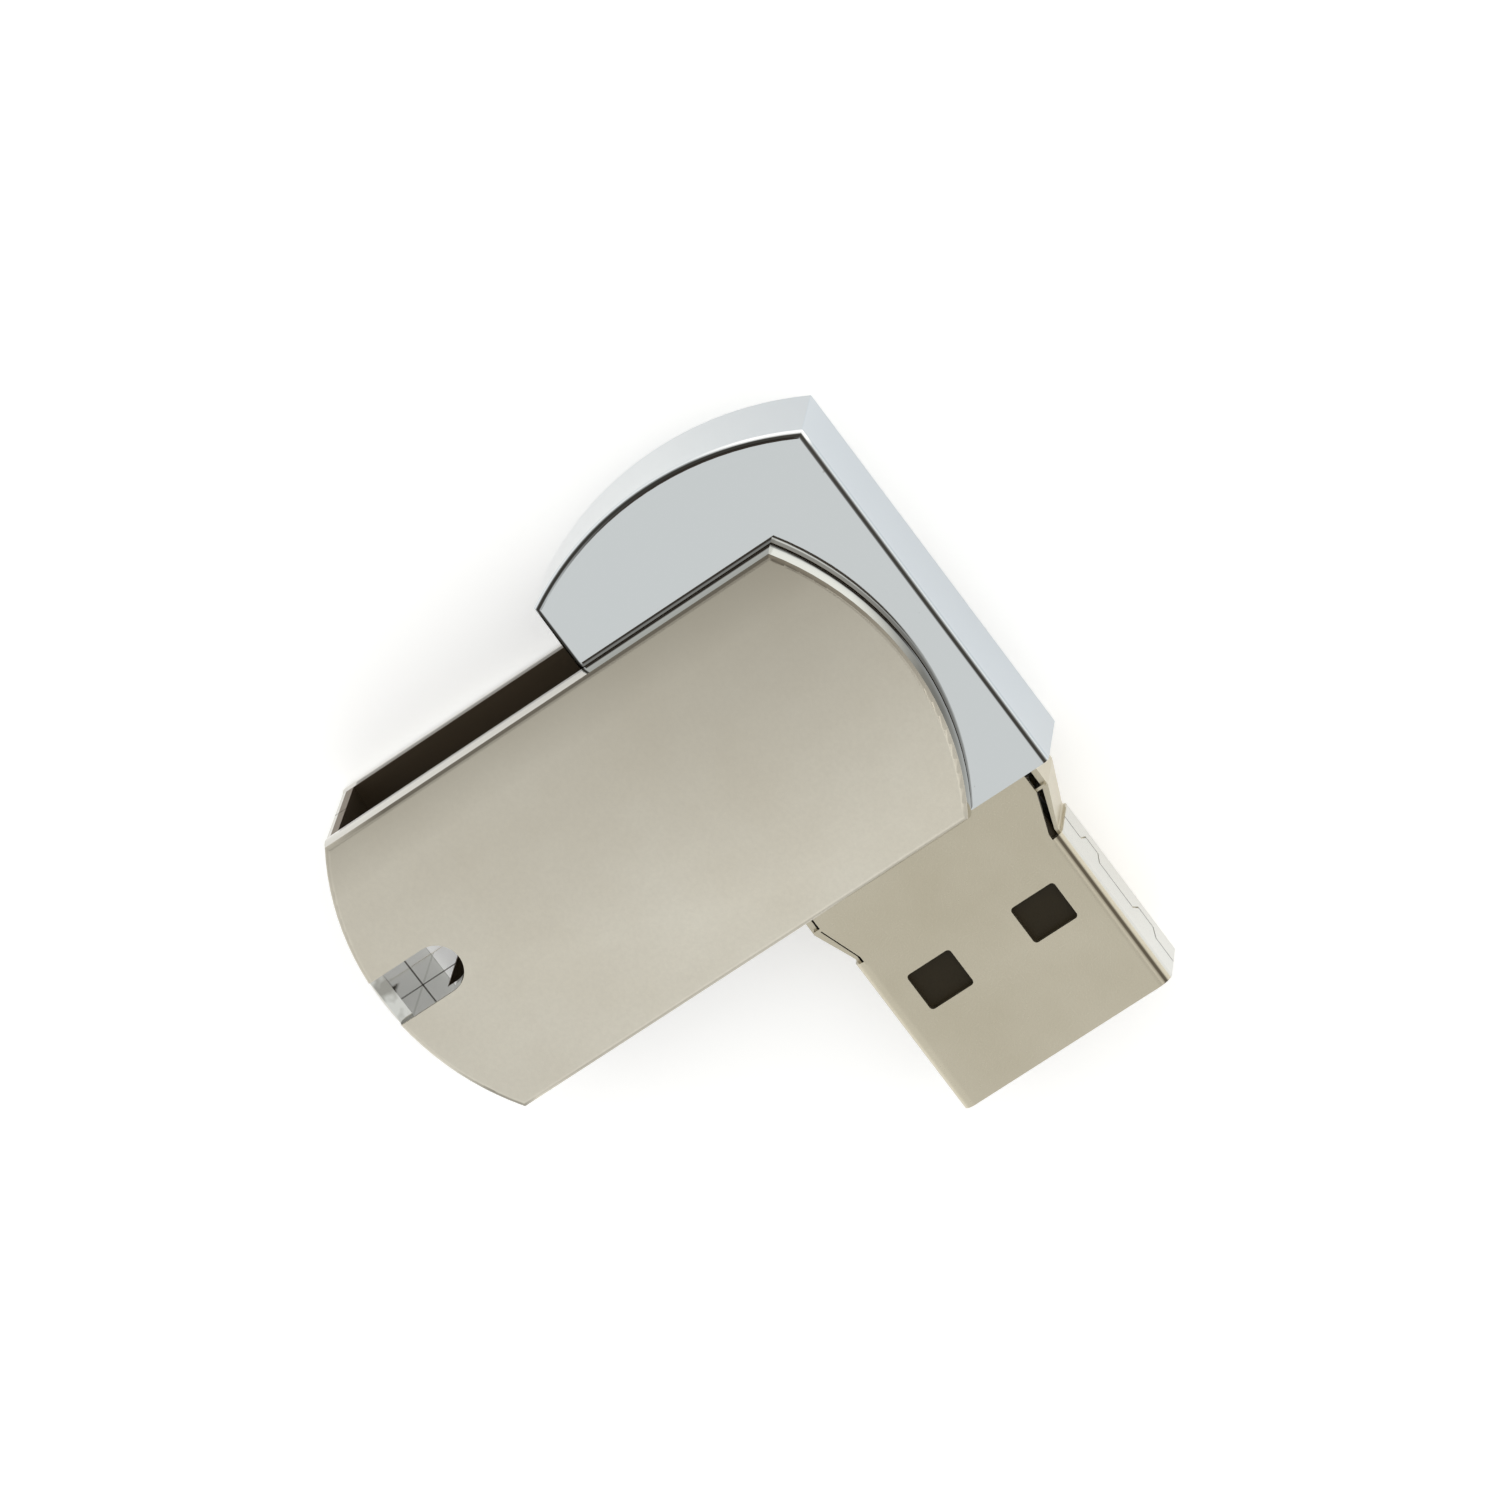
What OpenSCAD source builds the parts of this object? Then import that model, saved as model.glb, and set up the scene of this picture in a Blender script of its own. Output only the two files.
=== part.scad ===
// USB flash drive with a swivelling metal cover.
// Millimetres, +Z up. The swivel axis is the Z axis. The drive points along +X.
// The cover is swung 90 degrees, with its closed end towards -Y.
// The part rests on the outer face of the lower cover plate, at z = 0.

/* [Body] */
// Width of the chromed body
body_width = 15.5; // [15.2:0.1:15.8]
// Thickness of the chromed body
body_thickness = 5.6; // [5.5:0.1:6.2]
// Swivel axis to the front end of the body
body_front = 8.0; // [7.8:0.1:8.6]
// Swivel axis to the crown of the rounded rear end
body_rear = 13.55; // [13.4:0.05:14.5]
// Plan radius of the rounded rear end
body_rear_radius = 16; // [15:0.5:20]
// Edge rounding of the body
body_edge = 0.35; // [0.15:0.05:0.4]

/* [Swivel cover] */
// Width of the cover
cover_width = 16; // [15.9:0.1:16.6]
// Thickness of each cover plate
plate_thickness = 1.35; // [1.2:0.05:1.8]
// Swivel axis to the crown of the open end
cover_front = 5.75; // [5.4:0.05:6.2]
// Plan radius of the open end
cover_front_radius = 14.6; // [12:0.2:18]
// Swivel axis to the crown of the closed end
cover_rear = 25.05; // [24.8:0.05:26.5]
// Plan radius of the closed end
cover_rear_radius = 14; // [12:0.2:18]
// Swivel axis to the inner face of the closed end
cover_pocket = 22.25; // [21.9:0.05:22.4]
// Running gap between the body and each plate
swivel_gap = 0.1; // [0.08:0.01:0.15]
// Edge rounding of the cover
cover_edge = 0.3; // [0.2:0.05:0.5]
// Radius of the bulge across each plate edge
edge_bulge = 3; // [3:0.5:5]

/* [Lanyard slot] */
// Width of the slot
slot_width = 2.54; // [2.2:0.02:2.8]
// Swivel axis to the centre of the round slot end
slot_centre = 21.76; // [21.5:0.02:22]
// Thickness of the bar that closes the outer end of the slot
lanyard_bar = 0.85; // [0.7:0.05:1.1]
// Depth of the bar below the outer faces of the cover
lanyard_bar_drop = 0.45; // [0.3:0.05:0.8]

/* [Plug] */
// Width of the plug shell
plug_width = 12; // [11.9:0.1:12.1]
// Thickness of the plug shell
plug_thickness = 4.5; // [4.4:0.1:4.6]
// Length of the shell ahead of the body
plug_length = 12.35; // [11.75:0.05:12.8]
// Sheet thickness of the shell
shell_wall = 0.3; // [0.25:0.05:0.35]
// Outer bend radius of the shell
shell_bend = 0.65; // [0.5:0.05:0.8]
// Outward step of each shell side where it enters the body
shell_flare = 0.75; // [0.6:0.05:0.8]

/* [Swivel] */
// Diameter of the swivel studs
stud_diameter = 4.0; // [3.4:0.1:4.6]
// Radial running clearance in the bushes
stud_clearance = 0.05; // [0.02:0.01:0.08]
// Outer diameter of the bushes
bush_diameter = 5.4; // [5.2:0.1:6]

/* [Circuit board] */
// Length of the board
board_length = 13.4; // [13:0.1:13.5]
// Width of the board
board_width = 12.6; // [12.2:0.1:12.8]
// Thickness of the board
board_thickness = 0.8; // [0.6:0.1:1.0]

/* [Hidden] */
$fn = 96;
eps = 0.01;
cover_thickness = body_thickness + 2 * (swivel_gap + plate_thickness);
mid = cover_thickness / 2;
body_low = mid - body_thickness / 2;
body_top = mid + body_thickness / 2;
plug_low = mid - plug_thickness / 2;
plug_top = mid + plug_thickness / 2;
plug_tip = body_front + plug_length;
shell_rear = 3.2;
// Clearance between the shell and the plastic pressed into it
press_gap = 0.02;
shell_half = plug_width / 2;
flare_half = shell_half + shell_flare;
// Plan positions of the two folds in each flared side
fold_in = body_front + 3.3;
fold_out = body_front + 1.25;
// Outward step from the coined neck of each fold to the shell side
fold_step = 0.15;
fold_neck = 0.2;
fold_overlap = 0.4;
// Distance of the flared side sheets from the upper and lower faces of the shell
side_margin = 0.5;
// Latch windows: distance ahead of the body, distance from the middle, size, corner radius
window_x = 6.25;
window_y = 3;
window_length = 2.1;
window_width = 2.5;
window_corner = 0.2;
cavity_half = flare_half + press_gap;
cavity_rear = -11;
cavity_wall = 0.7;
cavity_low = body_low + cavity_wall;
cavity_top = body_top - cavity_wall;
// Contact level: lower face of the tongue and of the circuit board
contact_level = mid + 0.05;
contact_thickness = 0.2;
contact_width = 1;
contact_clearance = 0.05;
contact_rows = [-3.5, -1, 1, 3.5];
// Distance of the power and data contact tips, and of the tongue, behind the plug tip
power_tip = 1.5;
data_tip = 2.5;
tongue_tip = 0.6;
// Corner relief that clears the inside of the shell bends
bend_relief = 0.35;
board_low = contact_level;
board_top = board_low + board_thickness;
board_front = shell_rear - 0.2;
board_rear = board_front - board_length;
// Where the contact tails end on the board
tail_end = board_front - 1.9;
// Tooling holes: distance from the rear board edge, distance from the middle, diameter
tooling_x = 1.1;
tooling_y = 5.2;
tooling_diameter = 0.9;
shank_diameter = 2.4;
shank_end = 0.6;
stud_end_gap = 0.1;
washer_outer = 10.4;
washer_inner = stud_diameter + 0.6;
washer_seat = 0.2;
washer_rub = 0.07;
pocket_radius = 80;
front_centre = cover_front - cover_front_radius;
rear_centre = cover_rear_radius - cover_rear;
// Height of the crown of each bulged plate edge above the inner face of the plate
edge_crown = 0.46;
// Distance of the outer edge rounding inside the crown
edge_lean = 0.05;
// Step from the crown of the plate edges in to the wall of the closed end
end_inset = 0.03;
// Parting groove round the closed end, half way up
parting_width = 0.07;
parting_depth = 0.08;
// Where the straight sides of the body give way to the rounded rear end
rear_split = -6;
// Seam in one side of the plug shell, as distances ahead of the body and below the middle
seam_path = [[3.5, 0], [4.8, 0], [5.1, 0.8], [6.1, 0.8], [6.3, 0], [9.0, 0],
             [9.4, 0.8], [10.6, 0.8], [10.9, 0], [plug_length, 0]];
seam_width = 0.07;
seam_depth = 0.08;

// ---------- shared shapes ----------

// Box between two opposite corners
module block(low, high) {
    translate(low) cube([high[0] - low[0], high[1] - low[1], high[2] - low[2]]);
}

// Rectangle with round corners, centred on the vertical axis, standing on y = 0
module round_rect(w, h, r) {
    translate([-w / 2 + r, 0]) square([w - 2 * r, h]);
    translate([-w / 2, r]) square([w, h - 2 * r]);
    for (x = [-w / 2 + r, w / 2 - r], y = [r, h - r])
        translate([x, y]) circle(r);
}

// Disc with a rounded rim, standing on z = 0
module round_disc(radius, h, r) {
    rotate_extrude($fn = 180) {
        square([radius - r, h]);
        translate([0, r]) square([radius, h - 2 * r]);
        for (y = [r, h - r])
            translate([radius - r, y]) circle(r);
    }
}

// Slab along +X: round-cornered section, length from x0 to x1
module slab_x(x0, x1, w, h, r) {
    translate([x0, 0, 0]) rotate([90, 0, 90])
        linear_extrude(x1 - x0) round_rect(w, h, r);
}

// Flat ring
module ring(outer, inner, low, high) {
    translate([0, 0, low]) difference() {
        cylinder(d = outer, h = high - low);
        translate([0, 0, -eps]) cylinder(d = inner, h = high - low + 2 * eps);
    }
}

// ---------- body ----------

module body_blank() {
    arc_x = body_rear_radius - body_rear;
    translate([0, 0, body_low]) {
        slab_x(rear_split, body_front, body_width, body_thickness, body_edge);
        intersection() {
            slab_x(-body_rear - 1, rear_split, body_width, body_thickness, body_edge);
            translate([arc_x, 0, 0])
                round_disc(body_rear_radius, body_thickness, body_edge);
        }
    }
}

module body_housing() {
    color([0.80, 0.82, 0.83]) difference() {
        body_blank();
        block([cavity_rear, -cavity_half, cavity_low], [body_front + 1, cavity_half, cavity_top]);
        block([shell_rear - 0.3, -cavity_half, plug_low], [body_front + 1, cavity_half, plug_top]);
        translate([0, 0, body_low - 1]) cylinder(d = bush_diameter, h = body_thickness + 2);
    }
}

module pivot_bush(low) {
    ring(bush_diameter, stud_diameter + 2 * stud_clearance, low, low + cavity_wall);
}

module pivot_bush_top() {
    color([0.78, 0.66, 0.38]) pivot_bush(cavity_top);
}

module pivot_bush_bottom() {
    color([0.78, 0.66, 0.38]) pivot_bush(body_low);
}

// ---------- plug ----------

// Plan outline of one shell side, from its rear end to the inner fold
module side_outline() {
    neck = shell_half - fold_step;
    inside = shell_half - shell_wall;
    bend_shift = 0.06;
    polygon([[shell_rear, flare_half], [fold_out, flare_half], [fold_in, neck],
             [fold_in + fold_overlap, neck], [fold_in + fold_overlap, inside],
             [fold_in - bend_shift, inside], [fold_out - bend_shift, flare_half - shell_wall],
             [shell_rear, flare_half - shell_wall]]);
}

// Plan outline of one flat shell face behind the inner fold
module face_outline() {
    edge = shell_half - shell_bend + 0.1;
    wide = shell_half + 0.2;
    turn_in = fold_in - 0.1;
    turn_out = fold_out - 0.1;
    end = fold_in + fold_overlap;
    polygon([[shell_rear, -wide], [turn_out, -wide], [turn_in, -edge], [end, -edge],
             [end, edge], [turn_in, edge], [turn_out, wide], [shell_rear, wide]]);
}

module latch_windows() {
    for (side = [-1, 1])
        translate([body_front + window_x, side * window_y - window_width / 2, plug_low - 1])
            linear_extrude(plug_thickness + 2)
                round_rect(window_length, window_width, window_corner);
}

// Short groove cut into the side wall between two points of the seam
module seam_groove(from, to) {
    run = to - from;
    translate([body_front + from[0], shell_half, mid - from[1]])
        rotate([0, atan2(run[1], run[0]), 0])
            block([-seam_width / 2, -seam_depth, -seam_width / 2],
                  [norm(run) + seam_width / 2, 1, seam_width / 2]);
}

// Narrow bridges left across the slits of one flared side
module slit_bridges(low, high) {
    for (base = [low, high - shell_wall])
        block([fold_out - 0.2, shell_half + 0.1, base - 0.25],
              [fold_out - 0.05, flare_half - 0.1, base + shell_wall + 0.25]);
}

module plug_shell() {
    side_low = plug_low + side_margin;
    side_high = plug_top - side_margin;
    color([0.74, 0.72, 0.66]) {
        difference() {
            translate([0, 0, plug_low])
                slab_x(fold_in + fold_neck, plug_tip, plug_width, plug_thickness, shell_bend);
            translate([0, 0, plug_low + shell_wall])
                slab_x(fold_in - 1, plug_tip + 1, plug_width - 2 * shell_wall,
                       plug_thickness - 2 * shell_wall, shell_bend - shell_wall);
            latch_windows();
            for (i = [1 : len(seam_path) - 1])
                seam_groove(seam_path[i - 1], seam_path[i]);
        }
        for (low = [plug_low, plug_top - shell_wall])
            translate([0, 0, low]) linear_extrude(shell_wall) face_outline();
        for (side = [0, 1])
            mirror([0, side, 0]) {
                translate([0, 0, side_low])
                    linear_extrude(side_high - side_low) side_outline();
                slit_bridges(side_low, side_high);
            }
    }
}

// Relief along two lower or upper corners of the plastic, clear of the shell bends
module corner_relief(half, level, rear, front) {
    for (side = [-1, 1])
        translate([rear, side * half, level]) rotate([0, 90, 0])
            cylinder(r = bend_relief, h = front - rear, $fn = 4);
}

module plug_tongue() {
    half = shell_half - shell_wall - press_gap;
    top = plug_top - shell_wall - press_gap;
    color([0.07, 0.07, 0.07]) difference() {
        block([shell_rear, -half, contact_level], [plug_tip - tongue_tip, half, top]);
        corner_relief(half, top, shell_rear - 1, plug_tip + 1);
    }
}

module contact_retainer() {
    half = shell_half - shell_wall - press_gap;
    low = plug_low + shell_wall + press_gap;
    groove = contact_width / 2 + contact_clearance;
    color([0.10, 0.10, 0.11]) difference() {
        block([shell_rear, -half, low], [body_front + 1, half, contact_level - eps]);
        for (y = contact_rows)
            block([tail_end, y - groove, contact_level - contact_thickness - press_gap],
                  [body_front + 2, y + groove, mid + 1]);
        corner_relief(half, low, 0, body_front + 2);
    }
}

// One contact strip, from its solder tail to its tip
module contact_strip(y, tip) {
    color([0.90, 0.72, 0.32])
        block([tail_end, y - contact_width / 2, contact_level - contact_thickness],
              [plug_tip - tip, y + contact_width / 2, contact_level]);
}

module contact_vbus() {
    contact_strip(contact_rows[0], power_tip);
}

module contact_data_minus() {
    contact_strip(contact_rows[1], data_tip);
}

module contact_data_plus() {
    contact_strip(contact_rows[2], data_tip);
}

module contact_ground() {
    contact_strip(contact_rows[3], power_tip);
}

module contact_solder() {
    color([0.72, 0.73, 0.74])
        for (y = contact_rows)
            block([tail_end - 0.45, y - 0.4, contact_level - contact_thickness + 0.06],
                  [tail_end, y + 0.4, contact_level]);
}

// ---------- electronics ----------

module circuit_board() {
    color([0.05, 0.32, 0.20]) difference() {
        block([board_rear, -board_width / 2, board_low], [board_front, board_width / 2, board_top]);
        for (side = [-1, 1])
            translate([board_rear + tooling_x, side * tooling_y, board_low - 1])
                cylinder(d = tooling_diameter, h = board_thickness + 2);
    }
}

// Frame that carries the board edges inside the body
module board_carrier() {
    outer = cavity_half - press_gap;
    half = board_width / 2;
    ledge = 0.5;
    front = shell_rear - 0.3;
    color([0.12, 0.12, 0.13]) difference() {
        block([cavity_rear, -outer, cavity_low], [front, outer, cavity_top]);
        block([board_rear + ledge, ledge - half, cavity_low - 1], [front + 1, half - ledge, cavity_top + 1]);
        block([board_rear, -half, board_low], [front + 1, half, board_top]);
    }
}

module insulating_film() {
    color([0.85, 0.52, 0.12])
        block([board_rear + 0.6, -board_width / 2 + 0.6, cavity_top - 0.1],
              [board_front - 0.4, board_width / 2 - 0.6, cavity_top]);
}

module flash_memory_chip() {
    color([0.09, 0.09, 0.10])
        block([-9.2, -5.3, board_top + 0.05], [-0.4, 5.3, board_top + 0.95]);
}

// Land pads between the memory package and the board
module flash_memory_pads() {
    color([0.86, 0.70, 0.36])
        for (x = [-8.6 : 1.6 : -2.2], y = [-4.4 : 2.2 : 4.4])
            block([x, y - 0.4, board_top], [x + 0.8, y + 0.4, board_top + 0.05]);
}

module controller_chip() {
    color([0.08, 0.08, 0.09])
        block([-8.6, -3, board_low - 1.1], [-2.6, 3, board_low - 0.1]);
}

// Gull-wing lead, foot outwards along +X
module gull_lead() {
    block([0, -0.1, -0.65], [0.35, 0.1, -0.55]);
    block([0.25, -0.1, -0.65], [0.35, 0.1, 0]);
    block([0.25, -0.1, -0.1], [0.85, 0.1, 0]);
}

module controller_leads() {
    color([0.76, 0.77, 0.78])
        for (turn = [0 : 90 : 270], i = [-4 : 4])
            translate([-5.6, 0, board_low]) rotate([0, 0, turn])
                translate([3, i * 0.6, 0]) gull_lead();
}

module crystal_oscillator() {
    color([0.80, 0.80, 0.78]) {
        block([-9.9, 3.9, board_low - 0.7], [-7.4, 5.6, board_low]);
        block([-9.7, 4.1, board_low - 0.8], [-7.6, 5.4, board_low - 0.7]);
    }
}

module voltage_regulator() {
    color([0.10, 0.10, 0.10])
        block([-5.2, 4.1, board_low - 1.0], [-2.3, 5.3, board_low - 0.1]);
}

module regulator_leads() {
    color([0.76, 0.77, 0.78]) {
        for (x = [-4.95, -2.95])
            block([x, 3.7, board_low - 0.1], [x + 0.4, 4.3, board_low]);
        block([-3.95, 5.1, board_low - 0.1], [-3.55, 5.7, board_low]);
    }
}

// Chip capacitors on the lower face of the board
module capacitors() {
    color([0.72, 0.58, 0.40])
        for (p = [[-9.8, -5.4], [-7.9, -5.4], [-6.0, -5.4], [-1.9, 2.2], [-1.9, -2.6]])
            block([p[0], p[1], board_low - 0.5], [p[0] + 1.0, p[1] + 0.5, board_low]);
}

// Chip resistors on the lower face of the board
module resistors() {
    color([0.11, 0.11, 0.12])
        for (p = [[-4.1, -5.4], [-2.4, -5.4], [-1.9, 0.9], [-1.9, -1.3]])
            block([p[0], p[1], board_low - 0.35], [p[0] + 1.0, p[1] + 0.5, board_low]);
}

// ---------- cover ----------

// Half section of a cover plate standing on its inner face, from x = start to the crown of
// its bulged edge. Only the outer edge is rounded.
module plate_half(start, reach) {
    turn = reach - cover_edge - edge_lean;
    intersection() {
        union() {
            translate([start, 0]) square([reach - edge_bulge - start, plate_thickness]);
            translate([reach - edge_bulge, edge_crown]) circle(edge_bulge);
        }
        union() {
            translate([start, 0]) square([turn - start, plate_thickness]);
            translate([start, 0]) square([reach - start, plate_thickness - cover_edge]);
            translate([turn, plate_thickness - cover_edge]) circle(cover_edge);
        }
    }
}

// Straight length of a cover plate, from y0 to y1
module plate_slab(y0, y1) {
    translate([0, y1, 0]) rotate([90, 0, 0]) linear_extrude(y1 - y0)
        for (side = [0, 1])
            mirror([side, 0]) plate_half(-1, cover_width / 2);
}

module plate_disc(radius) {
    rotate_extrude($fn = 180) plate_half(0, radius);
}

// One cover plate, standing on its inner face
module cover_plate() {
    intersection() {
        plate_slab(front_centre, cover_front + 1);
        translate([0, front_centre, 0]) plate_disc(cover_front_radius);
    }
    plate_slab(rear_centre, front_centre);
    intersection() {
        plate_slab(-cover_rear - 1, rear_centre);
        translate([0, rear_centre, 0]) plate_disc(cover_rear_radius);
    }
}

// Layer of the solid end that joins the two plates behind the pocket
module end_layer(low, high, inset) {
    half = cover_width / 2 - inset;
    difference() {
        intersection() {
            block([-half, -cover_rear - 1, low], [half, rear_centre, high]);
            translate([0, rear_centre, low])
                cylinder(r = cover_rear_radius - inset, h = high - low, $fn = 180);
        }
        translate([0, pocket_radius - cover_pocket, -1])
            cylinder(r = pocket_radius, h = cover_thickness + 2, $fn = 360);
    }
}

module closed_end() {
    end_low = plate_thickness - edge_crown;
    end_high = cover_thickness - end_low;
    groove_low = mid - parting_width / 2;
    groove_high = mid + parting_width / 2;
    end_layer(end_low, groove_low, end_inset);
    end_layer(groove_low, groove_high, end_inset + parting_depth);
    end_layer(groove_high, end_high, end_inset);
}

// Keyway-shaped space of the slot, grown all round by a margin
module slot_column(low, high, margin) {
    half = slot_width / 2 + margin;
    translate([0, -slot_centre, low]) cylinder(r = half, h = high - low);
    block([-half, lanyard_bar - cover_rear - margin, low], [half, -slot_centre, high]);
}

module lanyard_slot_space() {
    half = slot_width / 2;
    bar_face = lanyard_bar - cover_rear;
    slot_column(-1, cover_thickness + 1, 0);
    slot_column(mid - parting_width / 2, mid + parting_width / 2, parting_depth);
    for (low = [-1, cover_thickness - lanyard_bar_drop])
        block([-half, -cover_rear - 1, low], [half, bar_face + eps, low + 1 + lanyard_bar_drop]);
}

module swivel_cover() {
    color([0.74, 0.71, 0.65]) difference() {
        union() {
            translate([0, 0, cover_thickness - plate_thickness]) cover_plate();
            translate([0, 0, plate_thickness]) mirror([0, 0, 1]) cover_plate();
            closed_end();
        }
        lanyard_slot_space();
        // washer seats
        ring(washer_outer, washer_inner, plate_thickness - washer_seat, plate_thickness + 1);
        ring(washer_outer, washer_inner, cover_thickness - plate_thickness - 1,
             cover_thickness - plate_thickness + washer_seat);
        // stud shanks
        translate([0, 0, shank_end])
            cylinder(d = shank_diameter, h = cover_thickness - 2 * shank_end);
    }
}

// Stud that enters the lower bush
module pivot_stud() {
    translate([0, 0, shank_end]) cylinder(d = shank_diameter, h = plate_thickness - shank_end);
    translate([0, 0, plate_thickness])
        cylinder(d = stud_diameter, h = swivel_gap + cavity_wall - stud_end_gap);
}

module pivot_stud_top() {
    color([0.66, 0.67, 0.68]) translate([0, 0, cover_thickness]) mirror([0, 0, 1]) pivot_stud();
}

module pivot_stud_bottom() {
    color([0.66, 0.67, 0.68]) pivot_stud();
}

module friction_washer() {
    ring(washer_outer, washer_inner, plate_thickness - washer_seat, plate_thickness + washer_rub);
}

module friction_washer_top() {
    color([0.92, 0.92, 0.90]) translate([0, 0, cover_thickness]) mirror([0, 0, 1]) friction_washer();
}

module friction_washer_bottom() {
    color([0.92, 0.92, 0.90]) friction_washer();
}

body_housing();
plug_shell();
plug_tongue();
contact_retainer();
contact_vbus();
contact_data_minus();
contact_data_plus();
contact_ground();
contact_solder();
circuit_board();
board_carrier();
insulating_film();
flash_memory_chip();
flash_memory_pads();
controller_chip();
controller_leads();
crystal_oscillator();
voltage_regulator();
regulator_leads();
capacitors();
resistors();
pivot_bush_top();
pivot_bush_bottom();
swivel_cover();
pivot_stud_top();
pivot_stud_bottom();
friction_washer_top();
friction_washer_bottom();
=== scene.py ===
import math

import bpy
from mathutils import Matrix, Vector


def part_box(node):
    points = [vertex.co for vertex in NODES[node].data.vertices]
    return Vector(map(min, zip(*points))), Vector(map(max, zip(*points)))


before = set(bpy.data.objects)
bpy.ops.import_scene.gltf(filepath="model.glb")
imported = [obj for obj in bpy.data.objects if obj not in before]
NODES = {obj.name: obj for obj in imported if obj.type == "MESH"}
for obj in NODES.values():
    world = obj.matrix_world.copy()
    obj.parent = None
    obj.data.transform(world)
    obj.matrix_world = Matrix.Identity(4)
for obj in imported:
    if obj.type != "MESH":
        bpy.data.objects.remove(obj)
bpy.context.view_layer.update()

MM = 0.001

# ---------------------------------------------------------------- places, all from the frame
COVER_LOW, COVER_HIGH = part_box("swivel_cover")
BODY_LOW, BODY_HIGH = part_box("body_housing")
PLUG_LOW, PLUG_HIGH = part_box("plug_shell")
FLOOR_GLOW = 0.40

# ---------------------------------------------------------------- places inside the pieces, in millimetres
# Cover: plate thickness, inner end of the pocket, depth at which the rounded edge ends, mid-height
PLATE = 1.35
POCKET_END = -22.25
EDGE_END = 0.143
COVER_MIDDLE = COVER_HIGH.z / MM / 2
# Region of the cover slot: half width, inner end, inner face of the bar, depth just under the bar's
# top, and outer end just short of the bar's outer face
SLOT_HALF = 1.42
SLOT_START = -20.2
BAR_START = -24.1
BAR_TOP = 0.6
BAR_END = -24.95
# Body: where the arched end begins
ARCH_START = -11.1
# Plug: half width of its side walls, and where the flared sides end
PLUG_HALF = 6.0
FLARE_END = 11.5


# ---------------------------------------------------------------- camera
def make_camera():
    """A long lens, looking down on the upper face from 21 degrees off the swivel axis."""
    place = Vector((-100.82, 112.29, 405.09)) * MM
    aim = Vector((-0.627, -3.047, 8.49)) * MM
    roll = math.radians(-166.23)
    camera = bpy.data.objects.new("camera", bpy.data.cameras.new("camera"))
    camera.data.lens = 219.74
    camera.data.sensor_width = 36
    camera.data.clip_start = 0.01
    camera.data.clip_end = 20
    camera.location = place
    camera.rotation_mode = "QUATERNION"
    turn = (aim - place).to_track_quat("-Z", "Y").to_matrix() @ Matrix.Rotation(roll, 3, "Z")
    camera.rotation_quaternion = turn.to_quaternion()
    bpy.context.scene.collection.objects.link(camera)
    bpy.context.scene.camera = camera


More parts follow.
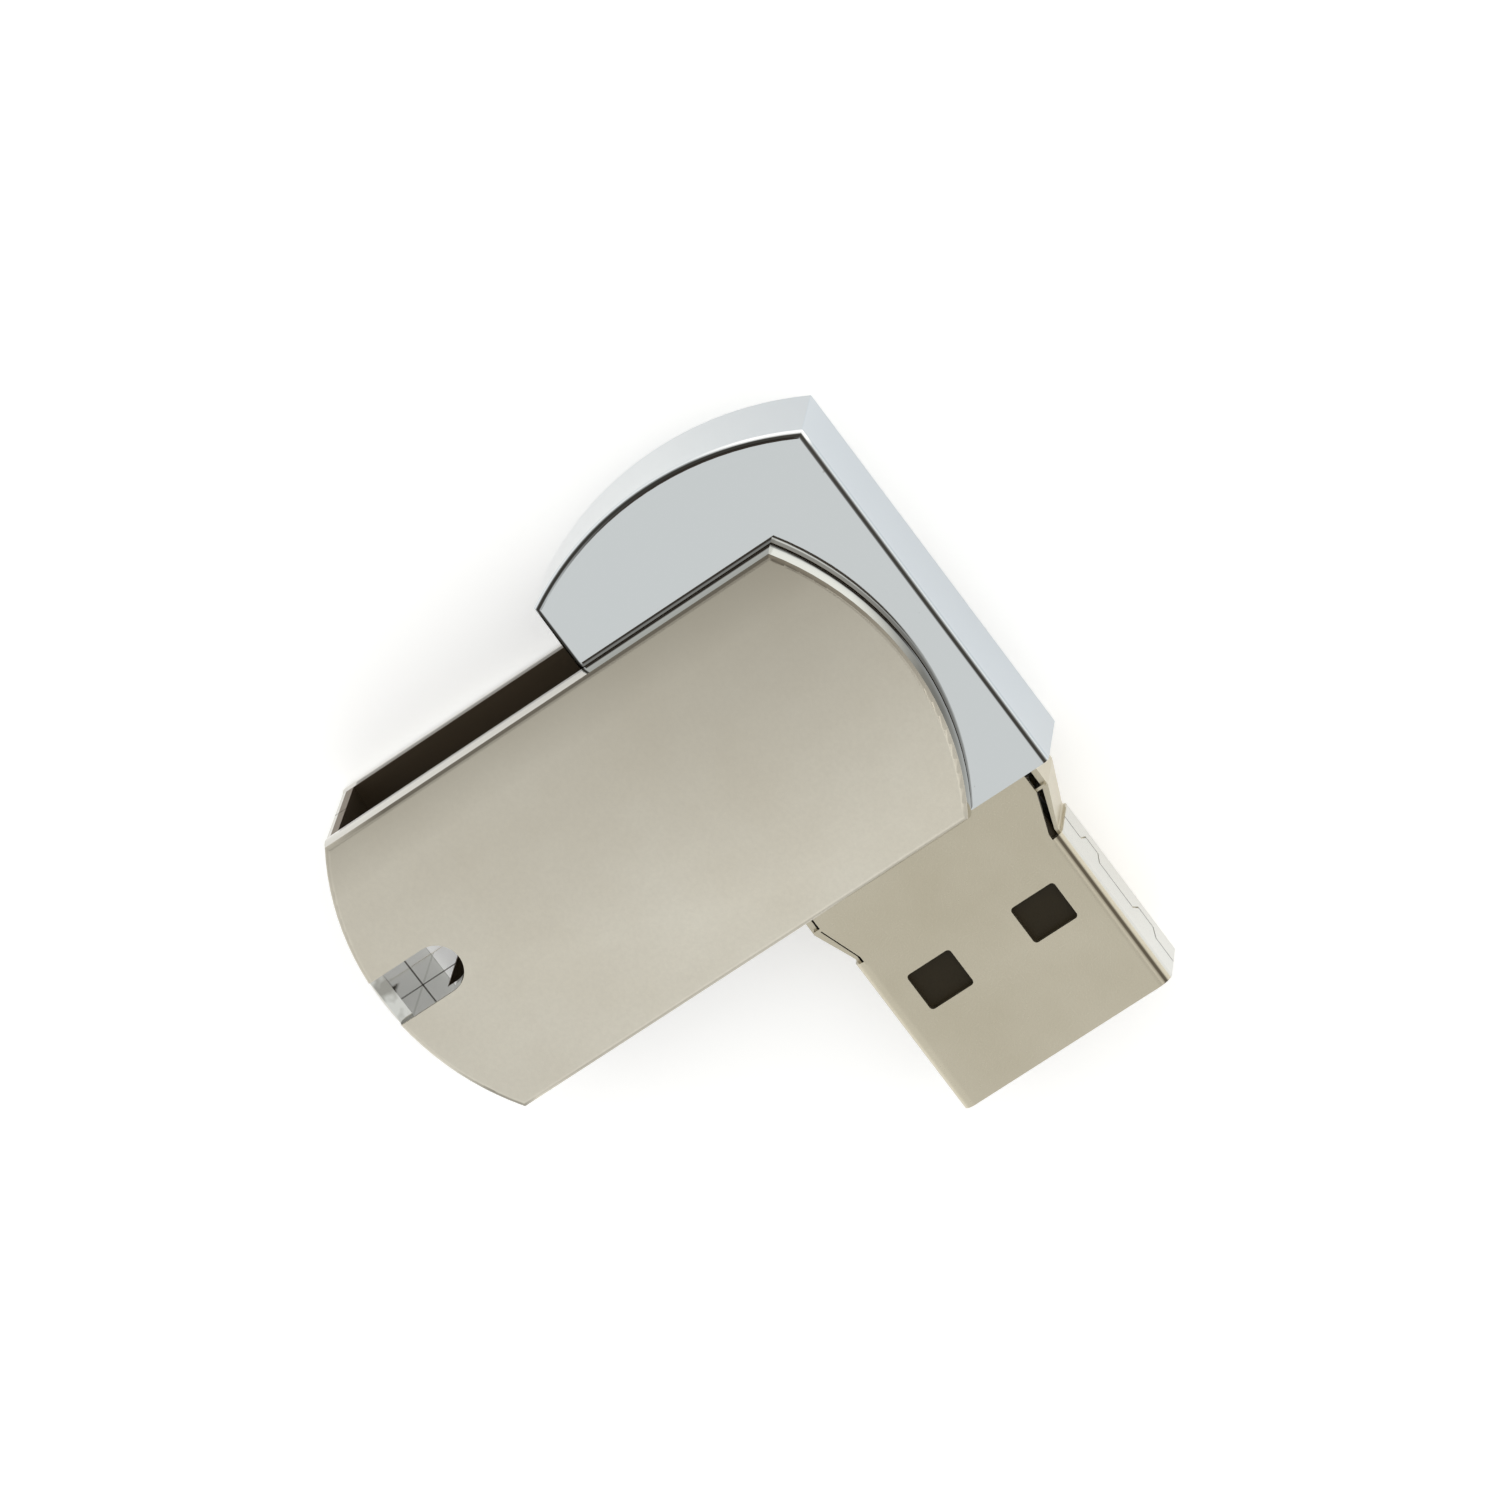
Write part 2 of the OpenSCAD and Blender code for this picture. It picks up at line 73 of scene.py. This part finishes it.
# ---------------------------------------------------------------- node helpers
class Shader:
    """A new material whose nodes are made and linked by short calls."""

    def __init__(self, name):
        self.material = bpy.data.materials.new(name)
        self.material.use_nodes = True
        self.tree = self.material.node_tree
        self.surface = self.tree.nodes["Principled BSDF"]

    def node(self, kind, **settings):
        made = self.tree.nodes.new(kind)
        for key, value in settings.items():
            setattr(made, key, value)
        return made

    def put(self, source, target):
        """Links a socket, or sets a plain value."""
        if isinstance(source, bpy.types.NodeSocket):
            self.tree.links.new(source, target)
        else:
            target.default_value = source

    def set(self, **values):
        """Sets Principled inputs by name, with _ for a space."""
        for key, value in values.items():
            self.put(value, self.surface.inputs[key.replace("_", " ")])

    def place(self, stretch=(1, 1, 1)):
        """Object coordinates in millimetres, stretched per axis."""
        coords = self.node("ShaderNodeTexCoord")
        mapping = self.node("ShaderNodeMapping")
        mapping.inputs["Scale"].default_value = [s / MM for s in stretch]
        self.put(coords.outputs["Object"], mapping.inputs["Vector"])
        return mapping.outputs["Vector"]

    def noise(self, scale, detail=3.0, roughness=0.5, stretch=(1, 1, 1)):
        """Noise with `scale` cycles per millimetre."""
        made = self.node("ShaderNodeTexNoise")
        self.put(self.place(stretch), made.inputs["Vector"])
        made.inputs["Scale"].default_value = scale
        made.inputs["Detail"].default_value = detail
        made.inputs["Roughness"].default_value = roughness
        return made.outputs["Fac"]

    def axis(self, name):
        """One object coordinate, in millimetres."""
        split = self.node("ShaderNodeSeparateXYZ")
        self.put(self.place(), split.inputs["Vector"])
        return split.outputs[name]

    def depth(self, low, high):
        """Millimetres from the nearer of two levels, measured into the piece."""
        z = self.axis("Z")
        below_top = self.math("SUBTRACT", high.z / MM, z)
        return self.math("MINIMUM", below_top, self.math("SUBTRACT", z, low.z / MM))

    def all_of(self, first, *others):
        """Product of several masks."""
        for other in others:
            first = self.math("MULTIPLY", first, other)
        return first

    def math(self, operation, a, b=0.0):
        made = self.node("ShaderNodeMath", operation=operation)
        self.put(a, made.inputs[0])
        self.put(b, made.inputs[1])
        return made.outputs["Value"]

    def remap(self, value, from_low, from_high, to_low=0.0, to_high=1.0):
        made = self.node("ShaderNodeMapRange")
        for key, number in (("From Min", from_low), ("From Max", from_high),
                            ("To Min", to_low), ("To Max", to_high)):
            made.inputs[key].default_value = number
        self.put(value, made.inputs["Value"])
        return made.outputs["Result"]

    def mix(self, factor, a, b):
        """Colours, mixed."""
        made = self.node("ShaderNodeMix", data_type="RGBA")
        self.put(factor, made.inputs["Factor"])
        for value, key in ((a, 6), (b, 7)):
            self.put((*value, 1) if isinstance(value, tuple) else value, made.inputs[key])
        return made.outputs[2]

    def blend(self, factor, a, b):
        """Plain numbers, mixed."""
        made = self.node("ShaderNodeMix", data_type="FLOAT")
        self.put(factor, made.inputs["Factor"])
        self.put(a, made.inputs[2])
        self.put(b, made.inputs[3])
        return made.outputs[0]

    def bump(self, height, depth):
        """Bump whose height runs from 0 to `depth` millimetres."""
        made = self.node("ShaderNodeBump")
        made.inputs["Strength"].default_value = 1.0
        made.inputs["Distance"].default_value = depth * MM
        self.put(height, made.inputs["Height"])
        return made.outputs["Normal"]


# ---------------------------------------------------------------- materials
def polished_chrome():
    """Mirror chrome with a painted dark reflection line along each rounded edge, painted bluish shade on the
    long side walls, and painted shade and a painted highlight on the arched end.
    """
    s = Shader("polished_chrome")
    x, y = s.axis("X"), s.axis("Y")
    depth = s.depth(BODY_LOW, BODY_HIGH)
    # painted dark reflection line along each rounded edge
    line = s.all_of(s.remap(depth, 0.002, 0.015), s.remap(depth, 0.14, 0.07))
    # painted bluish shade on the long side walls
    long_side_painted_shade = s.remap(s.math("ABSOLUTE", y), BODY_HIGH.y / MM - 0.06, BODY_HIGH.y / MM - 0.02)
    # painted shade: the arched end is darker towards one corner, with a painted highlight where its rounded
    # edge catches the light
    arch = s.remap(x, ARCH_START + 0.4, ARCH_START)
    arch_painted_shade = s.all_of(arch, s.remap(y, 0.0, 7.5, 0.0, 0.5), s.remap(depth, 0.28, 0.32))
    arch_painted_glint = s.all_of(arch, s.remap(y, 2.5, 5.5), s.remap(depth, 0.08, 0.12), s.remap(depth, 0.30, 0.22))
    smear = s.remap(s.noise(0.35, 4), 0.35, 0.75)
    specks = s.remap(s.noise(2.6, 1), 0.80, 0.82)
    colour = s.mix(specks, (0.645, 0.675, 0.690), (0.50, 0.51, 0.51))
    colour = s.mix(arch_painted_shade, colour, (0.40, 0.44, 0.48))
    colour = s.mix(long_side_painted_shade, colour, (0.515, 0.565, 0.610))
    colour = s.mix(line, colour, (0.045, 0.043, 0.038))
    s.set(Metallic=1.0, Base_Color=s.mix(arch_painted_glint, colour, (0.97, 0.97, 0.97)),
          Roughness=s.remap(smear, 0, 1, 0.02, 0.06),
          Normal=s.bump(s.noise(0.25, 1), 0.0006))
    return s.material


def satin_nickel():
    """Satin faces and rounded edges with a painted dark reflection line along them, polished walls, and
    painted dark shade on the rougher inner faces.
    """
    s = Shader("satin_nickel")
    x, y, z = s.axis("X"), s.axis("Y"), s.axis("Z")
    depth = s.depth(COVER_LOW, COVER_HIGH)
    polished = s.remap(depth, EDGE_END, EDGE_END + 0.008)

    # painted dark reflection line on the rounded edge, strongest on one side and at one corner
    edge = s.all_of(s.remap(depth, 0.0015, 0.03), s.remap(depth, EDGE_END + 0.008, EDGE_END))
    strength = s.all_of(s.remap(x, -3.0, 4.0, 1.0, 0.45), s.remap(y, -19.0, -22.0, 1.0, 0.25))
    corner = s.all_of(s.remap(x, 3.5, 6.5, 0.0, 0.6), s.remap(y, -21.5, -22.5))
    line = s.math("MULTIPLY", edge, s.math("MAXIMUM", s.math("MULTIPLY", strength, 0.78), corner))
    # painted shade along the lower part of the plate edges, by the gap
    gap_painted_shade = s.all_of(s.remap(depth, PLATE - 0.50, PLATE - 0.36), s.remap(depth, PLATE + 0.02, PLATE + 0.01),
                    s.remap(y, POCKET_END + 0.5, POCKET_END + 0.6))
    # painted shade on the inner faces between the plates, which are also rougher
    inner = s.all_of(s.remap(depth, PLATE - 0.03, PLATE - 0.02),
                     s.remap(y, POCKET_END - 0.06, POCKET_END - 0.04))

    # painted shade: the satin is darker towards one front corner, the low end and the left edge
    across = s.math("MULTIPLY", s.math("SUBTRACT", x, COVER_LOW.x / MM), 1.6)
    along = s.math("MULTIPLY", s.math("SUBTRACT", COVER_HIGH.y / MM, y), 0.7)
    reach = s.math("SQRT", s.math("ADD", s.math("POWER", across, 2.0), s.math("POWER", along, 2.0)))
    clouds = s.remap(s.noise(0.11, 4, 0.6), 0.32, 0.68)
    streaks = s.remap(s.noise(0.5, 5, 0.65, stretch=(1, 0.35, 1)), 0.3, 0.7, 0.0, 0.16)
    mottle = s.remap(s.noise(4.5, 4, 0.7), 0.35, 0.65, 0.0, 0.10)
    grain = s.noise(26, 2)
    painted_shade_tone = (0.30, 0.272, 0.215)
    satin = s.mix(clouds, (0.800, 0.752, 0.640), (0.860, 0.822, 0.718))
    satin = s.mix(streaks, satin, (0.66, 0.61, 0.52))
    satin = s.mix(s.remap(reach, 0, 23, 0.64, 0.0), satin, painted_shade_tone)
    satin = s.mix(s.remap(y, -9.0, -25.0, 0.0, 0.20), satin, (0.42, 0.385, 0.320))
    satin = s.mix(s.remap(x, COVER_LOW.x / MM, COVER_LOW.x / MM + 2.6, 0.40, 0.0), satin, painted_shade_tone)
    satin = s.mix(mottle, satin, (0.45, 0.42, 0.36))
    satin = s.mix(s.remap(grain, 0.3, 0.7, 0, 0.12), satin, (0.52, 0.48, 0.41))

    # polished walls: painted shade on the left wall, a painted dark reflection along the middle of the front
    # arc, a painted highlight on the slot walls, a darker inner face and mottled spots on the bar, and a dark
    # seam in the slot
    # painted shade on the left wall
    left_wall_painted_shade = s.remap(x, COVER_LOW.x / MM + 0.20, COVER_LOW.x / MM + 0.12)
    rim = s.mix(left_wall_painted_shade, (0.80, 0.78, 0.73), (0.60, 0.585, 0.54))
    # painted dark reflection along the middle of the front arc
    arc_painted_dark_reflection = s.all_of(s.remap(x, -4.0, 1.0), s.remap(x, 7.6, 3.0, 0.4, 1.0), s.remap(y, -1.0, 0.0))
    rim = s.mix(arc_painted_dark_reflection, rim, (0.22, 0.205, 0.175))
    slot = s.all_of(s.remap(s.math("ABSOLUTE", x), SLOT_HALF, SLOT_HALF - 0.04),
                    s.remap(y, SLOT_START, SLOT_START - 0.1), s.remap(y, BAR_END, BAR_END + 0.05))
    bar = s.math("MULTIPLY", slot, s.remap(y, BAR_START, BAR_START - 0.05))
    spots = s.math("MULTIPLY", bar, s.remap(s.noise(0.9, 2, 0.5), 0.45, 0.62, 0.0, 0.70))
    spots = s.math("MULTIPLY", spots, s.remap(depth, BAR_TOP + 0.02, BAR_TOP - 0.02))
    from_middle = s.math("ABSOLUTE", s.math("SUBTRACT", z, COVER_MIDDLE))
    seam = s.math("MULTIPLY", slot, s.remap(from_middle, 0.16, 0.10))
    # painted highlight: the slot walls are lighter
    rim = s.mix(slot, rim, (0.88, 0.88, 0.87))
    rim = s.mix(s.math("MULTIPLY", bar, 0.5), rim, (0.50, 0.51, 0.46))
    rim = s.mix(spots, rim, (0.22, 0.21, 0.18))
    rim = s.mix(seam, rim, (0.12, 0.11, 0.09))

    colour = s.mix(polished, satin, rim)
    # painted dark reflection line and painted shade by the gap
    colour = s.mix(s.math("MAXIMUM", line, s.math("MULTIPLY", gap_painted_shade, 0.8)), colour, (0.060, 0.048, 0.034))
    # painted shade on the inner faces
    colour = s.mix(inner, colour, (0.165, 0.130, 0.090))
    satin_rough = s.remap(grain, 0.3, 0.7, 0.33, 0.41)
    rough = s.blend(polished, satin_rough, s.remap(s.noise(0.8, 2), 0.3, 0.7, 0.04, 0.08))
    s.set(Metallic=1.0, Base_Color=colour, Roughness=s.blend(inner, rough, 0.42),
          Normal=s.bump(s.noise(22, 2, stretch=(1, 0.25, 1)), 0.0008))
    return s.material


def plated_steel():
    """Grained plate with plainer, smoother side walls painted lighter as a painted floor reflection, and a
    painted dark reflection line along the bend beside the seam.
    """
    s = Shader("plated_steel")
    x, y = s.axis("X"), s.axis("Y")
    clouds = s.remap(s.noise(0.22, 4), 0.3, 0.7)
    grain = s.noise(16, 3, 0.65)
    colour = s.mix(clouds, (0.600, 0.550, 0.430), (0.660, 0.610, 0.490))
    colour = s.mix(s.remap(grain, 0.3, 0.7, 0, 0.16), colour, (0.40, 0.36, 0.28))
    # side walls: a smoother polish, and lighter colour as a painted reflection of the bright floor
    side = s.all_of(s.remap(s.math("ABSOLUTE", y), PLUG_HALF - 0.08, PLUG_HALF - 0.04),
                    s.remap(x, FLARE_END - 0.2, FLARE_END + 0.1))
    colour = s.mix(side, colour, (0.65, 0.65, 0.62))
    depth = s.math("SUBTRACT", PLUG_HIGH.z / MM, s.axis("Z"))
    # painted dark reflection line along the bend on one side
    line = s.all_of(s.remap(depth, 0.03, 0.09), s.remap(depth, 0.22, 0.15), s.remap(y, 4.9, 5.1))
    s.set(Metallic=1.0, Base_Color=s.mix(line, colour, (0.10, 0.085, 0.062)),
          Roughness=s.blend(side, s.remap(grain, 0.3, 0.7, 0.26, 0.36), 0.16),
          Normal=s.bump(s.noise(20, 3), 0.0010))
    return s.material


def plastic(name, colour, roughness=0.5):
    s = Shader(name)
    s.set(Specular_IOR_Level=0.25,
          Base_Color=s.mix(s.noise(2, 3), colour, tuple(c * 0.75 for c in colour)),
          Roughness=s.remap(s.noise(9, 2), 0.3, 0.7, roughness - 0.06, roughness + 0.06),
          Normal=s.bump(s.noise(14, 3), 0.004))
    return s.material


def metal(name, colour, roughness=0.25):
    s = Shader(name)
    s.set(Metallic=1.0,
          Base_Color=s.mix(s.noise(1.5, 3), colour, tuple(c * 0.85 for c in colour)),
          Roughness=s.remap(s.noise(10, 3), 0.3, 0.7, roughness - 0.06, roughness + 0.06),
          Normal=s.bump(s.noise(16, 2), 0.001))
    return s.material


def dress(material, *names):
    for name in names:
        mesh = NODES[name].data
        mesh.materials.clear()
        mesh.materials.append(material)


def dress_nodes():
    dress(polished_chrome(), "body_housing")
    dress(satin_nickel(), "swivel_cover")
    dress(plated_steel(), "plug_shell")
    dress(plastic("black_plastic", (0.021, 0.0142, 0.004), 0.55), "plug_tongue", "contact_retainer",
          "board_carrier")
    dress(metal("gold_contact", (0.90, 0.68, 0.30)), "contact_vbus", "contact_data_minus",
          "contact_data_plus", "contact_ground", "flash_memory_pads")
    dress(metal("tinned_metal", (0.70, 0.71, 0.72)), "contact_solder", "controller_leads",
          "regulator_leads", "crystal_oscillator")
    dress(plastic("green_laminate", (0.02, 0.16, 0.08), 0.35), "circuit_board")
    dress(plastic("amber_film", (0.62, 0.26, 0.03), 0.25), "insulating_film")
    dress(plastic("black_epoxy", (0.03, 0.03, 0.033), 0.5), "flash_memory_chip", "controller_chip",
          "voltage_regulator", "resistors")
    dress(plastic("ceramic_chip", (0.42, 0.28, 0.15), 0.4), "capacitors")
    dress(metal("bush_brass", (0.72, 0.55, 0.26)), "pivot_bush_top", "pivot_bush_bottom")
    dress(metal("stud_steel", (0.58, 0.58, 0.58)), "pivot_stud_top", "pivot_stud_bottom")
    dress(plastic("washer_plastic", (0.78, 0.78, 0.74), 0.4), "friction_washer_top", "friction_washer_bottom")


# ---------------------------------------------------------------- studio
def make_floor():
    s = Shader("floor_paper")
    s.set(Base_Color=s.mix(s.noise(0.02, 2), (0.82, 0.82, 0.82), (0.80, 0.80, 0.80)), Roughness=0.9,
          Emission_Color=(1, 1, 1, 1), Emission_Strength=FLOOR_GLOW)
    half = 1.5
    corners = [(-half, -half, 0), (half, -half, 0), (half, half, 0), (-half, half, 0)]
    mesh = bpy.data.meshes.new("floor")
    mesh.from_pydata(corners, [], [(0, 1, 2, 3)])
    mesh.materials.append(s.material)
    floor = bpy.data.objects.new("floor", mesh)
    floor.location.z = COVER_LOW.z
    bpy.context.scene.collection.objects.link(floor)


def make_world():
    """A white tent, brighter low down on one side, with a dark patch overhead where the camera stands."""
    world = bpy.data.worlds.new("studio")
    bpy.context.scene.world = world
    world.use_nodes = True
    tree = world.node_tree
    coords = tree.nodes.new("ShaderNodeTexCoord")

    def toward(direction, low, high, to_low, to_high):
        """Smoothly from to_low to to_high as the angle to `direction` closes from `low` to `high` degrees."""
        dot = tree.nodes.new("ShaderNodeVectorMath")
        dot.operation = "DOT_PRODUCT"
        dot.inputs[1].default_value = Vector(direction).normalized()
        tree.links.new(coords.outputs["Generated"], dot.inputs[0])
        step = tree.nodes.new("ShaderNodeMapRange")
        step.interpolation_type = "SMOOTHSTEP"
        for key, number in (("From Min", math.cos(math.radians(low))),
                            ("From Max", math.cos(math.radians(high))),
                            ("To Min", to_low), ("To Max", to_high)):
            step.inputs[key].default_value = number
        tree.links.new(dot.outputs["Value"], step.inputs["Value"])
        return step.outputs["Result"]

    def mix(factor, a, b):
        made = tree.nodes.new("ShaderNodeMix")
        made.data_type = "RGBA"
        tree.links.new(factor, made.inputs["Factor"])
        for value, socket in ((a, made.inputs[6]), (b, made.inputs[7])):
            if isinstance(value, tuple):
                socket.default_value = (*value, 1)
            else:
                tree.links.new(value, socket)
        return made.outputs[2]

    tent = mix(toward((-0.35, 0.75, 0.56), 50, 20, 0, 1), (0.88, 0.885, 0.87), (1.50, 1.48, 1.42))
    sky = mix(toward((0.08, 0.13, 0.99), 11, 7, 0, 1), tent, (0.075, 0.060, 0.048))
    sky = mix(toward((-0.10, -0.12, 0.99), 18, 11, 0, 1), sky, (0.075, 0.060, 0.048))
    tree.links.new(sky, tree.nodes["Background"].inputs["Color"])


make_camera()
dress_nodes()
make_floor()
make_world()
bpy.context.scene.view_settings.view_transform = "Standard"
